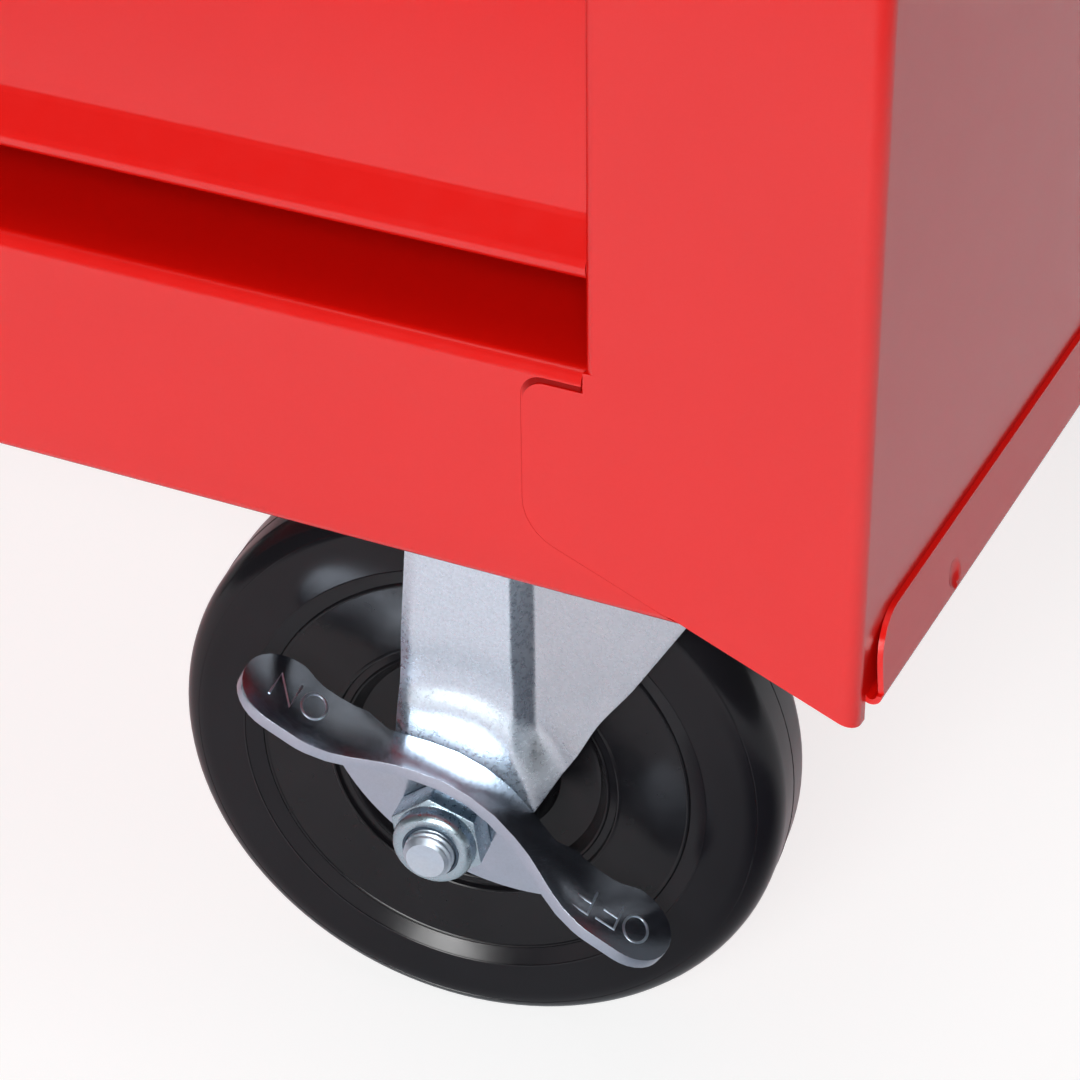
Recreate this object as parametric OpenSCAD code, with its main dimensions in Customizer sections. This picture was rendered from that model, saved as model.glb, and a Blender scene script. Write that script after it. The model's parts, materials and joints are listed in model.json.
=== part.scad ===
// Rolling tool cabinet: folded sheet-steel body, five drawers on ball-bearing slides, two braked swivel casters at
// the front and two rigid casters at the back. Millimetres, +Z up, the front faces -Y, the floor is z = 0.

/* [Cabinet body] */
// Width over the side panels
cab_w = 680; // [600:1:900]
// Depth from the stile faces to the back panel's outer face
cab_d = 458; // [400:1:600]
// Thickness of the folded sheet
sheet = 1; // [0.8:0.1:1.5]
// Outer radius of the upright front corners
corner_r = 3; // [2.5:0.5:8]
// Outer radius of the other folds
fold_r = 2; // [1.6:0.1:3]
// Width of a front stile
stile_w = 49.4; // [44:0.1:70]
// Depth of the fold behind a stile's inner edge
stile_return = 26; // [15:1:40]
// Width of the folds that carry the back panel
back_flange = 18; // [10:1:30]
// Height of the top rail
top_rail_h = 52; // [50:1:70]
// Depth of the recess in the top panel
top_recess = 16; // [8:1:18]
// Width of the rim round the top recess
top_rim = 32; // [30:1:45]
// Radius of the recess's corners
tray_r = 10; // [4:1:20]
// Height of the top panel's skirt
top_skirt = 18; // [10:1:20]

/* [Base] */
// Height of the bottom rail's lower edge above the feet
rail_rise = 11.7; // [8:0.1:20]
// Height of the bottom rail's face
rail_h = 45; // [40:0.1:70]
// Depth of the shelf that the rail folds back into
rail_shelf = 32; // [20:1:45]
// Depth of the rail's lower fold, which carries the bottom panel
rail_seat = 16; // [10:1:24]
// Outer radius of the rail's top fold
rail_r = 2.6; // [1.6:0.1:4]
// Width of a stile's foot with its tab
tab_w = 60.3; // [54:0.1:90]
// Height of the tab's upper edge above the foot
tab_top = 52.9; // [48:0.1:54]
// Radius of the tab's upper corner
tab_r = 4; // [2:0.5:8]
// Radius where the tab meets the sloped lower edge
tab_sweep_r = 9; // [5:0.5:14]
// Rise of the foot's lower edge per millimetre towards the middle
foot_slope = 0.4; // [0.3:0.01:0.42]
// Seam between the foot tab and the rail
seam = 0.35; // [0.2:0.05:0.6]
// Wider slit above the tab
slit = 1.2; // [0.6:0.1:2]
// Height of the hem's upper edge above the foot
hem_h = 17.3; // [12:0.1:24]
// Outer radius of the hem's loop
hem_r = 1.9; // [1.7:0.1:2.5]
// Height of the hem's underside above the foot
hem_lift = 3.4; // [0.5:0.1:4]
// Distance from the front face to the hem's end
hem_start = 4.5; // [4:0.5:15]
// How far the hem's front and rear edges lean towards its middle
hem_rake = 3; // [0:0.5:6]
// Radius of the hem's upper front corner
hem_corner_r = 9; // [4:1:12]
// Spacing of the spot welds along the hem
weld_pitch = 80; // [50:1:120]
// Height of the channels over the casters
channel_h = 22; // [12:1:30]
// Width of the channels over the casters
channel_w = 80; // [75:1:100]

/* [Drawers] */
// Pitch of the three upper drawers
shallow_pitch = 96; // [90:1:130]
// Pitch of the two lower drawers
deep_pitch = 170; // [100:1:220]
// Height of the finger gap under a lip
finger_gap = 14.8; // [12:0.1:24]
// Setback of a drawer face behind the stiles
face_setback = 8.3; // [3:0.1:10]
// How far a lip's nose stands in front of its drawer face
lip_reach = 5.5; // [3.5:0.1:8]
// Radius of the lip's nose
nose_r = 2.5; // [1.8:0.1:4]
// Gap between a drawer front and the stiles
front_gap = 0.8; // [0.8:0.1:2.5]
// Gap between the top drawer and the top rail
top_gap = 3; // [2:0.5:8]
// Setback of the drawer boxes behind the stile faces
box_setback = 30; // [29:1:40]
// Room between a drawer front's top and its box's rim
rim_drop = 4; // [3:0.5:5]
// Width of the folded rim on a drawer box
box_rim = 8; // [4:1:15]
// Height of the slides
slide_h = 45; // [35:1:46]
// Width of a slide, cabinet side to drawer side
slide_w = 12.7; // [12:0.1:16]
// Thickness of the slide members
slide_t = 1.2; // [1:0.1:1.5]
// Running clearance between slide members
slide_play = 0.4; // [0.3:0.05:0.6]
// Height of the slides' middle above the drawer's underside
slide_lift = 29; // [25:1:32]
// Width of the slide posts
post_w = 40; // [25:1:60]

/* [Casters] */
// Diameter of the wheels
wheel_d = 125; // [100:1:130]
// Width of the tread
wheel_w = 26; // [22:1:34]
// Radius of the tyre's shoulders
shoulder_r = 7; // [4:0.5:10]
// Inner radius of the tyre's flat side wall
wall_r = 48.1; // [46:0.1:50]
// Radius of the wheel core
core_r = 44.6; // [40:0.1:45.5]
// Depth of the core's face below the side wall
core_depth = 1.4; // [1:0.1:4]
// Radius of the ring recess round the hub
ring_r = 29.7; // [24:0.1:34]
// Radius of the hub
hub_r = 17; // [14:0.5:20]
// Height of a caster from the floor to the top of its plate
caster_h = 149.9; // [146:0.1:165]
// Distance from the swivel axis to the wheel's axle
swivel_lead = 32; // [25:1:36]
// Distance from the cabinet's side to a caster's plate centre
caster_x = 67.7; // [60:0.1:110]
// Distance from the cabinet's front or back to a caster's plate centre
caster_y = 66.7; // [60:0.1:110]
// How far the swivel casters are turned from trailing to the left
caster_turn = 8.5; // [-30:0.5:30]
// Diameter of the axle bolts
axle_d = 10; // [8:0.5:12]
// Wall of the axle sleeves
sleeve_t = 2; // [1.5:0.1:3]
// Thickness of the fork's sheet
fork_t = 2.5; // [2:0.1:3]
// Gap between the tyre's side and a fork leg
leg_gap = 5.2; // [3:0.1:7]
// Height of the raised panel on a fork leg
leg_raise = 4.5; // [3:0.1:5]
// Distance from the axle to the raised panel's edge
panel_x = 12.9; // [12:0.1:20]
// Run of the sloped wall beside the raised panel
panel_slope = 3.7; // [2:0.1:6]
// Radius of a fork leg's round end
leg_r = 12.5; // [11:0.5:14]
// Length of the caster plates
plate_l = 95; // [94:1:110]
// Width of the caster plates
plate_w = 67; // [66:1:90]
// Thickness of the caster plates
plate_t = 3; // [2:0.5:4]
// Length of the bolt pattern
bolt_l = 75; // [70:1:80]
// Width of the bolt pattern
bolt_w = 46; // [45:1:50]
// Diameter of the plate bolts
bolt_d = 8; // [6:1:8]
// Diameter of the kingpins
kingpin_d = 12; // [10:0.5:14]
// Radius of the swivel ball races
race_r = 24; // [22:0.5:25]
// Diameter of the swivel balls
ball_d = 6.4; // [5:0.1:6.8]
// Number of balls in a race
ball_n = 20; // [12:1:20]

/* [Brake levers] */
// Tilt of a lever in its OFF position
lever_tilt = 30.4; // [15:0.1:32]
// Thickness of the lever's sheet
lever_t = 2.5; // [2:0.1:3]
// Half the length over the paddles
lever_half = 49.2; // [46:0.1:55]
// Width of the paddles
paddle_w = 18.6; // [16:0.1:20]
// Width of the bent ledge over the nut
ledge_w = 9.6; // [8:0.1:11]
// Height of the paddles above the axle
paddle_z = 5.8; // [4:0.1:8]
// Height of the ledge's peak above the axle, before rounding
peak_z = 17.1; // [16.5:0.1:20]
// Radius of the ledge's arch
arch_r = 30; // [24:1:34]
// Depth of the plate's lower edge below the axle
leaf_drop = 9.5; // [8:0.1:12]
// Radius of the plate's lower edge
leaf_r = 44; // [40:1:60]

/* [Handle and lock] */
// Diameter of the handle tube
handle_d = 24; // [18:1:32]
// Distance from the side panel to the tube's axis
handle_reach = 48; // [42:1:70]
// Length between the handle brackets' middles
handle_l = 300; // [200:1:360]
// Distance from the cabinet's top to the tube's axis
handle_drop = 90; // [70:1:160]
// Diameter of the lock body
lock_d = 18; // [14:0.5:19]
// Diameter of the lock plug
plug_d = 12; // [9:0.5:13]
// Length of the lock cam from the plug's axis
cam_l = 30; // [28:0.5:31]

/* [Hidden] */
$fn = 64;
// Clearances: face to face within a body, on a turning shaft, and round a bolt
snug = 0.05;
running = 0.08;
bolt_play = 0.25;
arc_step = 12;

red = "#e3423d";
zinc = "#c3c9d2";
black = "#2b292e";
steel = "#9aa0a6";

// Planes of the body
xw = cab_w / 2;
yf = -cab_d / 2;
yb = cab_d / 2;
xs = xw - stile_w;
foot_z = caster_h - sheet - rail_rise;
rail_top = foot_z + rail_rise + rail_h;

// Drawer stack, drawer 0 at the top
pitches = [shallow_pitch, shallow_pitch, shallow_pitch, deep_pitch, deep_pitch];
last = len(pitches) - 1;
function stacked(i) = i >= last ? 0 : pitches[i + 1] + stacked(i + 1);
function lip_z(i) = rail_top + finger_gap + stacked(i);
function front_h(i) = pitches[i] - finger_gap;
function slide_z(i) = lip_z(i) + slide_lift;
stack_top = lip_z(0) + front_h(0);
top_rail_z = stack_top + top_gap;
top_z = top_rail_z + top_rail_h;

// Slides and drawer boxes
post_x = xs + sheet;
box_x = post_x - slide_w;
slide_y0 = yf + stile_return + 1;
slide_y1 = yb - back_flange - 10;
middle_h = slide_h - 2 * (slide_t + slide_play);
inner_h = middle_h - 2 * (slide_t + slide_play);
middle_in = 2;
box_y0 = yf + box_setback;

// Caster planes, measured from the wheel's middle along the axle and from the axle upwards
wheel_r = wheel_d / 2;
leg_in = wheel_w / 2 + leg_gap;
leg_out = leg_in + fork_t;
boss_out = leg_out + leg_raise;
sleeve_l = 2 * (boss_out - fork_t);
hub_half = leg_in - 0.6;
nose_half = sleeve_l / 2 - 0.6;
race_gap = ball_d + 0.6;
crown_z = caster_h - plate_t - race_gap - wheel_r;
plate_z = caster_h - plate_t - wheel_r;
leg_back_x = -7;
leg_front_x = 62.7;
boss_r = leg_r - 1;
cup_r = race_r + ball_d / 2 + 4;
cup_t = 2.5;
lever_y = boss_out + 0.2;
nut_y = lever_y + lever_t + 0.2;
nut_af = 1.7 * axle_d;
nut_hex_h = 0.65 * axle_d;
nut_h = 0.99 * axle_d;
nut_turn = 38;
head_h = 0.64 * axle_d;
bolt_over = 0.32 * axle_d;
bolt_end = nut_y + nut_h + bolt_over;
neck_back = lever_y - 3.4;
paddle_back = lever_y - 5.4;

// Bolted joint of the caster plates: head below, nut on the channel
channel_t = 1.5;
plate_head_h = 0.66 * bolt_d;
plate_nut_h = 0.81 * bolt_d;
plate_af = 1.6 * bolt_d;

// Lock on the top rail's middle
lock_z = top_rail_z + (top_rail_h - top_skirt) / 2;
lock_proud = 3;
cam_y = yf + box_setback - 7;
cam_t = 2;
cam_w = 12;

// Middle of the whole object's box, which is the frame's origin
rim_out = sheet + snug;
bracket_wall = 5;
wheel_reach = shoulder_r + (wheel_r - shoulder_r) * cos(caster_turn)
    + (wheel_w / 2 - shoulder_r) * abs(sin(caster_turn));
left_reach = max(xw - sheet + 2 * hem_r, xw - caster_x + swivel_lead * cos(caster_turn) + wheel_reach);
mid_x = (xw + handle_reach + handle_d / 2 + bracket_wall - left_reach) / 2;
mid_y = (rim_out - max(lock_proud, rim_out)) / 2;

drawer_names = [for (i = [0 : last]) str("drawer_", i + 1)];

// Outlines and folded-sheet profiles. A point is [x, y, radius]; a radius of 0 leaves the corner sharp.
function unit(v) = v / norm(v);
function flat(p) = [p[0], p[1]];
function left_of(v) = [-v[1], v[0]];
function turn(a, b) = a[0] * b[1] - a[1] * b[0];
function backwards(l) = [for (i = [len(l) - 1 : -1 : 0]) l[i]];
function swing(d) = d > 180 ? d - 360 : d < -180 ? d + 360 : d;
function arc_between(c, p, q) =
    let (a = atan2(p[1] - c[1], p[0] - c[0]),
         d = swing(atan2(q[1] - c[1], q[0] - c[0]) - a),
         n = max(1, ceil(abs(d) / arc_step)))
    [for (k = [0 : n]) c + norm(p - c) * [cos(a + d * k / n), sin(a + d * k / n)]];
function corner(p, q, s) =
    q[2] == 0 ? [flat(q)] :
    let (u = unit(flat(p) - flat(q)), v = unit(flat(s) - flat(q)), half = acos(u * v) / 2,
         reach = q[2] / tan(half))
    arc_between(flat(q) + unit(u + v) * q[2] / sin(half), flat(q) + u * reach, flat(q) + v * reach);
function outline(p) =
    let (n = len(p))
    [for (i = [0 : n - 1]) each corner(p[(i + n - 1) % n], p[i], p[(i + 1) % n])];
function path(p) =
    let (n = len(p))
    concat([flat(p[0])], [for (i = [1 : 1 : n - 2]) each corner(p[i - 1], p[i], p[i + 1])], [flat(p[n - 1])]);
function shifted(p, t) =
    let (n = len(p), d = [for (i = [0 : n - 2]) unit(flat(p[i + 1]) - flat(p[i]))])
    [for (i = [0 : n - 1])
        let (a = d[max(i - 1, 0)], b = d[min(i, n - 2)],
             q = flat(p[i]) + (left_of(a) + left_of(b)) * t / (1 + a * b))
        [q[0], q[1], p[i][2] == 0 ? 0 : p[i][2] - sign(turn(a, b)) * t]];
// A sheet of thickness t whose outer face follows the path, with the sheet on the path's left
function folded(p, t) = concat(path(p), backwards(path(shifted(p, t))));
// Direction in which a tangent from p meets a circle of radius r round the origin
function touch(p, r, side) = atan2(p[1], p[0]) + side * acos(r / norm(p));

module along_x(x0, x1) { translate([x0, 0, 0]) rotate([90, 0, 90]) linear_extrude(x1 - x0) children(); }
module along_y(y0, y1) { translate([0, y1, 0]) rotate([90, 0, 0]) linear_extrude(y1 - y0) children(); }
module along_z(z0, z1) { translate([0, 0, z0]) linear_extrude(z1 - z0) children(); }
module rod_y(r, y0, y1) { along_y(y0, y1) circle(r); }
module both_sides() { children(); mirror([1, 0, 0]) children(); }
module hex_rod(af, y0, y1) { along_y(y0, y1) circle(af / sqrt(3), $fn = 6); }
module placed() { translate([-mid_x, -mid_y, 0]) children(); }

// Body panels

// The stile's foot seen from the front, grown by g for the pocket in the rail
function foot_edge(x) = foot_z + foot_slope * (xw - x);
function tab_points(g, over) = [
    [xs - g, rail_top + sheet, 0],
    [xs - g, foot_z + tab_top + over, 0],
    [xw - tab_w - g, foot_z + tab_top + over, tab_r],
    [xw - tab_w - g, foot_edge(xw - tab_w) - g, tab_sweep_r],
    [xw - corner_r, foot_edge(xw - corner_r) - g, 0],
    [xw - corner_r, rail_top + sheet, 0]
];

module hem() {
    loop_x = xw - sheet + hem_r;
    loop_z = foot_z + hem_lift + hem_r;
    hem_end = yb - hem_start;
    weld_x = (loop_x + hem_r + xw + sheet) / 2 + 4.5;
    along_y(yf + hem_start, hem_end)
        translate([loop_x, loop_z])
            difference() {
                circle(hem_r);
                circle(hem_r - sheet);
                translate([-2 * hem_r, 0]) square([4 * hem_r, 2 * hem_r]);
            }
    difference() {
        intersection() {
            along_y(yf + hem_start, hem_end)
                polygon([
                    [loop_x + hem_r - sheet, loop_z], [loop_x + hem_r, loop_z],
                    [xw + sheet, foot_z + hem_h], [xw, foot_z + hem_h]
                ]);
            along_x(xw - sheet, xw + 4 * hem_r)
                polygon(outline([
                    [yf + hem_start, foot_z, 0], [hem_end, foot_z, 0],
                    [hem_end - hem_rake, foot_z + hem_h, hem_corner_r],
                    [yf + hem_start + hem_rake, foot_z + hem_h, hem_corner_r]
                ]));
        }
        for (y = [yf + weld_pitch / 2 : weld_pitch : hem_end - weld_pitch / 4])
            translate([weld_x, y, foot_z + hem_h / 2]) sphere(5);
    }
}

module side_panel() {
    front = [[xs, yf, 0], [xw, yf, corner_r], [xw, yb - sheet, fold_r], [xw - back_flange, yb - sheet, 0]];
    stile = [[xs, yf + stile_return, 0], [xs, yf, fold_r], front[1], front[2], front[3]];
    split_z = rail_top + snug;
    difference() {
        union() {
            along_z(split_z, top_rail_z - 1) polygon(folded(stile, sheet));
            along_z(foot_z, split_z) polygon(folded(front, sheet));
            along_z(top_rail_z - 1, top_z) polygon(folded(front, sheet));
            along_y(yf, yf + sheet) intersection() {
                polygon(outline(tab_points(0, 0)));
                translate([xw - tab_w, foot_z]) square([tab_w, rail_h + rail_rise]);
            }
        }
        along_y(yf - sheet, yf + corner_r)
            polygon([[xs - tab_w, foot_z - 1], [xs - tab_w, foot_edge(xs - tab_w)], [xw, foot_z], [xw, foot_z - 1]]);
        translate([xw - 2 * sheet, yf + hem_start, foot_z - 1])
            cube([4 * sheet, cab_d - 2 * hem_start, 1 + hem_lift + hem_r]);
    }
    hem();
}
module side_panel_right() { color(red) side_panel(); }
module side_panel_left() { color(red) mirror([1, 0, 0]) side_panel(); }

module bottom_rail() {
    z0 = foot_z + rail_rise;
    function section(y) = folded([
        [yf + rail_shelf, rail_top, 0], [y, rail_top, rail_r], [y, z0, fold_r], [yf + rail_seat, z0, 0]
    ], sheet);
    end_x = xw - corner_r - snug;
    color(red) difference() {
        union() {
            along_x(-xw + stile_w / 2, xw - stile_w / 2) polygon(section(yf));
            both_sides() along_x(xw - tab_w - 4, end_x) polygon(section(yf + sheet - snug));
        }
        both_sides() {
            along_y(yf - sheet, yf + sheet) polygon(outline(tab_points(seam, slit)));
            translate([xw - stile_w, yf - sheet, rail_top - sheet - rail_r])
                cube([stile_w, 2 * sheet, 3 * rail_r]);
        }
    }
}

module top_rail() {
    section = folded([
        [yf + rail_seat, top_z - snug, 0], [yf, top_z - snug, fold_r], [yf, top_rail_z, fold_r],
        [yf + rail_seat, top_rail_z, 0]
    ], sheet);
    color(red) difference() {
        union() {
            along_x(-xs + seam, xs - seam) polygon(section);
            both_sides() along_y(yf + sheet, yf + 2 * sheet)
                translate([xs - back_flange, top_rail_z + fold_r])
                    square([2 * back_flange, top_rail_h - 2 * fold_r]);
        }
        translate([0, 0, lock_z]) rod_y(lock_d / 2 + snug, yf - 1, yf + 5);
    }
}

module back_panel() {
    swage_h = 30;
    swage_d = 4;
    swage_x = xw - 3 * back_flange;
    module swage(inset, y0, y1, z) {
        h = swage_h / 2 - inset;
        along_y(y0, y1) translate([0, z]) polygon(outline([
            [-swage_x + inset, -h, 0.9 * h], [swage_x - inset, -h, 0.9 * h],
            [swage_x - inset, h, 0.9 * h], [-swage_x + inset, h, 0.9 * h]
        ]));
    }
    low = foot_z + hem_h;
    rows = [for (k = [1 : 4]) low + (top_z - low) * k / 5];
    color(red) difference() {
        union() {
            along_y(yb - sheet, yb) translate([-xw + corner_r, low]) square([cab_w - 2 * corner_r, top_z - snug - low]);
            for (z = rows) swage(0, yb - sheet - swage_d, yb, z);
        }
        for (z = rows) swage(sheet, yb - swage_d, yb + 1, z);
    }
}

module bottom_panel() {
    y0 = yf + max(corner_r, sheet + fold_r) + snug;
    y1 = yb - sheet - fold_r - snug;
    x = xw - sheet - snug;
    color(red) difference() {
        along_y(y0, y1) polygon(folded([
            [-x, caster_h + back_flange, 0], [-x, caster_h, fold_r], [x, caster_h, fold_r],
            [x, caster_h + back_flange, 0]
        ], sheet));
        plate_bolt_holes(caster_h - 1, caster_h + 2 * sheet);
    }
}

// The cabinet's plan, grown all round
module plan(grow, r) {
    polygon(outline([
        [-xw - grow, yf - grow, r], [xw + grow, yf - grow, r], [xw + grow, yb + grow, r], [-xw - grow, yb + grow, r]
    ]));
}
module top_panel() {
    floor_z = top_z - top_recess;
    color(red) {
        difference() {
            along_z(top_z - top_skirt, top_z + sheet) plan(rim_out, corner_r + rim_out);
            along_z(top_z - top_skirt - 1, top_z) plan(snug, corner_r + snug);
            along_z(top_z - 1, top_z + 2 * sheet) plan(-top_rim, tray_r);
        }
        difference() {
            along_z(floor_z - sheet, top_z + sheet) plan(-top_rim + sheet, tray_r + sheet);
            along_z(floor_z, top_z + 2 * sheet) plan(-top_rim, tray_r);
        }
    }
}

module base_channels() {
    x = xw - 2 * sheet - 1;
    z = caster_h + sheet;
    module channel(y) {
        along_x(-x, x) polygon(folded([
            [y - channel_w / 2, z + channel_h, 0], [y - channel_w / 2, z, fold_r + channel_t],
            [y + channel_w / 2, z, fold_r + channel_t], [y + channel_w / 2, z + channel_h, 0]
        ], channel_t));
    }
    color(steel) difference() {
        union() {
            channel(yf + caster_y);
            channel(yb - caster_y);
        }
        plate_bolt_holes(z - 1, z + 2 * channel_t);
    }
}

// Drawers and slides
module at_slide(i) { translate([post_x, slide_z(i)]) mirror([1, 0]) children(); }

module slide_posts() {
    module post(y) {
        along_z(rail_top + 1, stack_top) polygon(folded([
            [xw - sheet - snug, y + post_w / 2, 0], [post_x, y + post_w / 2, fold_r],
            [post_x, y - post_w / 2, fold_r], [xw - sheet - snug, y - post_w / 2, 0]
        ], slide_t));
    }
    color(steel) both_sides() {
        post(slide_y0 + post_w / 2);
        post(slide_y1 - post_w / 2);
    }
}

module slide_outer_members() {
    color(zinc) both_sides() for (i = [0 : last]) along_y(slide_y0, slide_y1) at_slide(i)
        polygon(folded([
            [slide_w - 3.2, slide_h / 2, 0], [0, slide_h / 2, fold_r], [0, -slide_h / 2, fold_r],
            [slide_w - 3.2, -slide_h / 2, 0]
        ], slide_t));
}

module slide_middles(i) {
    web = (middle_in + slide_w - 3.7 - slide_t) / 2;
    color(zinc) both_sides() along_y(slide_y0, slide_y1) at_slide(i) {
        translate([web, -middle_h / 2]) square([slide_t, middle_h]);
        for (h = [-middle_h / 2, middle_h / 2 - slide_t])
            translate([middle_in, h]) square([slide_w - 3.7 - middle_in, slide_t]);
    }
}

module drawer_runners(i) {
    tip = slide_w / 2;
    color(zinc) both_sides() along_y(slide_y0, slide_y1) at_slide(i)
        polygon(folded([
            [tip, -inner_h / 2, 0], [slide_w, -inner_h / 2, fold_r], [slide_w, inner_h / 2, fold_r],
            [tip, inner_h / 2, 0]
        ], slide_t));
}

module drawer_box(i) {
    z0 = lip_z(i) + sheet;
    z1 = lip_z(i) + front_h(i) - rim_drop;
    wall = [[-box_x, z1], [-box_x, z0], [box_x, z0], [box_x, z1]];
    color(red) {
        along_y(box_y0, slide_y1) polygon(folded([
            [-box_x + box_rim, z1, 0], [-box_x, z1, fold_r], [-box_x, z0, fold_r], [box_x, z0, fold_r],
            [box_x, z1, fold_r], [box_x - box_rim, z1, 0]
        ], sheet));
        for (y = [box_y0, slide_y1 - sheet])
            along_y(y, y + sheet) polygon(outline([for (p = wall) [p[0], p[1], fold_r]]));
    }
}

module drawer_front(i) {
    lip = lip_z(i);
    face = yf + face_setback;
    top = lip + front_h(i);
    nose_y = face - lip_reach + nose_r * (1 - 1 / tan(22.5));
    profile = [
        [box_y0, top - rim_drop - box_rim, 0], [box_y0, top, fold_r], [face, top, fold_r],
        [face, lip + face - nose_y, fold_r], [nose_y, lip, nose_r], [box_y0 + 4 * sheet, lip, 0]
    ];
    x = xs - front_gap;
    color(red) difference() {
        union() {
            along_x(-x, x) polygon(folded(profile, sheet));
            both_sides() along_x(x - sheet, x) polygon(path(profile));
        }
        if (i == 0) translate([-cam_l, cam_y - 2, top - 2 * sheet]) cube([2 * cam_l, cam_t + 4, 3 * sheet]);
        both_sides() translate([box_x - 1, slide_y0 - 1, lip + sheet])
            cube([slide_w, box_setback, front_h(i) - 2 * sheet]);
    }
}

// Casters. A caster's own frame has its origin on the axle, +Z up, and the outer leg on the -Y side.
module at_front_plate(side) { translate([side * (xw - caster_x), yf + caster_y, 0]) children(); }
module at_rear_plate(side) { translate([side * (xw - caster_x), yb - caster_y, 0]) children(); }
module at_front(side) {
    at_front_plate(side) rotate([0, 0, caster_turn]) translate([-swivel_lead, 0, wheel_r]) children();
}
module at_rear(side) { at_rear_plate(side) rotate([0, 0, side * 90]) translate([0, 0, wheel_r]) children(); }

module bolt_pattern() {
    for (x = [-bolt_l / 2, bolt_l / 2], y = [-bolt_w / 2, bolt_w / 2]) translate([x, y, 0]) children();
}
module at_plates() {
    for (side = [-1, 1]) {
        at_front_plate(side) children();
        at_rear_plate(side) children();
    }
}
module plate_bolt_holes(z0, z1) { at_plates() bolt_pattern() along_z(z0, z1) circle(bolt_d / 2 + bolt_play); }

module plate(z) {
    difference() {
        along_z(z, z + plate_t) polygon(outline([
            for (c = [[-1, -1], [1, -1], [1, 1], [-1, 1]]) [c[0] * plate_l / 2, c[1] * plate_w / 2, 6]
        ]));
        bolt_pattern() along_z(z - 1, z + plate_t + 1) circle(bolt_d / 2 + bolt_play);
    }
}

module front_caster_plates() {
    color(zinc) for (side = [-1, 1]) at_front_plate(side) difference() {
        plate(caster_h - plate_t);
        along_z(caster_h - plate_t - 1, caster_h + 1) circle(kingpin_d / 2 + snug);
    }
}

module kingpins() {
    under_crown = wheel_r + crown_z - fork_t - 0.3;
    color(zinc) for (side = [-1, 1]) at_front_plate(side) {
        along_z(under_crown - 1, caster_h - snug) circle(kingpin_d / 2);
        along_z(under_crown - 4, under_crown) circle(0.9 * kingpin_d);
    }
}

module swivel_balls() {
    color(steel) for (side = [-1, 1]) at_front_plate(side) for (k = [0 : ball_n - 1])
        rotate([0, 0, 360 * k / ball_n])
            translate([race_r, 0, caster_h - plate_t - race_gap / 2]) sphere(ball_d / 2, $fn = 24);
}

// A leg's outline from its round end at the axle up to a straight top
module leg_outline(r, back, front, top) {
    a0 = touch([back, top], r, 1);
    a1 = touch([front, top], r, -1) + 360;
    n = ceil((a1 - a0) / arc_step);
    polygon(concat([[back, top]], [for (k = [0 : n]) let (a = a0 + (a1 - a0) * k / n) r * [cos(a), sin(a)]],
                   [[front, top]]));
}

// One stamped leg on the +Y side: flat sheet, raised panel with sloped walls and a raised axle boss
module leg(back, front, panel_back, top) {
    module panel(x0, x1, y, z) {
        along_z(-2 * leg_r, z) polygon(outline([
            [x1 + panel_slope, leg_in - 1, 0], [x1 + panel_slope, leg_out, 0], [x1, y, fold_r], [x0, y, fold_r],
            [x0 - panel_slope, leg_out, 0], [x0 - panel_slope, leg_in - 1, 0]
        ]));
    }
    difference() {
        intersection() {
            along_y(leg_in, boss_out) leg_outline(leg_r, back, front, top);
            union() {
                along_y(leg_in - 1, leg_out) leg_outline(leg_r + 1, back - 1, front + 1, top + 1);
                panel(panel_back, panel_x, boss_out, top + 1);
                translate([0, boss_out, 0]) rotate([90, 0, 0])
                    cylinder(r1 = boss_r, r2 = boss_r + panel_slope + 1, h = leg_raise * (1 + 1 / panel_slope));
            }
        }
        intersection() {
            along_y(leg_in - 1, boss_out - fork_t)
                leg_outline(leg_r - fork_t, back + fork_t, front - fork_t, top);
            union() {
                panel(panel_back + fork_t / 2, panel_x - fork_t / 2, boss_out - fork_t, top - fork_t);
                rod_y(boss_r - 1, leg_in - 2, boss_out - fork_t + 1);
            }
        }
        rod_y(axle_d / 2 + bolt_play, 0, boss_out + 1);
    }
}
module legs(back, front, panel_back, top) {
    for (m = [0, 1]) mirror([0, m, 0]) leg(back, front, panel_back, top);
}

module fork() {
    difference() {
        union() {
            legs(leg_back_x, leg_front_x, -2 * leg_r, crown_z);
            translate([leg_back_x, -leg_in - fork_t / 2, crown_z - fork_t])
                cube([leg_front_x - leg_back_x, 2 * leg_in + fork_t, fork_t]);
            translate([swivel_lead, 0, 0]) along_z(crown_z - fork_t, plate_z - 1) circle(cup_r);
        }
        translate([swivel_lead, 0, 0]) {
            along_z(crown_z, plate_z) circle(cup_r - cup_t);
            along_z(crown_z - 2 * fork_t, crown_z + 1) circle(kingpin_d / 2 + running);
        }
    }
}

module rear_caster_forks() {
    half = plate_w / 2 - 2;
    color(zinc) for (side = [-1, 1]) at_rear(side) {
        legs(-half, half, -panel_x, plate_z + plate_t / 2);
        rotate([0, 0, -90]) plate(plate_z);
    }
}

module axle_bolt(end) {
    tip = 0.12 * axle_d;
    rod_y(axle_d / 2, -end + tip, boss_out + 1);
    translate([0, -end + tip, 0]) rotate([90, 0, 0]) cylinder(r1 = axle_d / 2, r2 = axle_d / 2 - tip, h = tip);
    hex_rod(nut_af, boss_out, boss_out + head_h);
}

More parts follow.
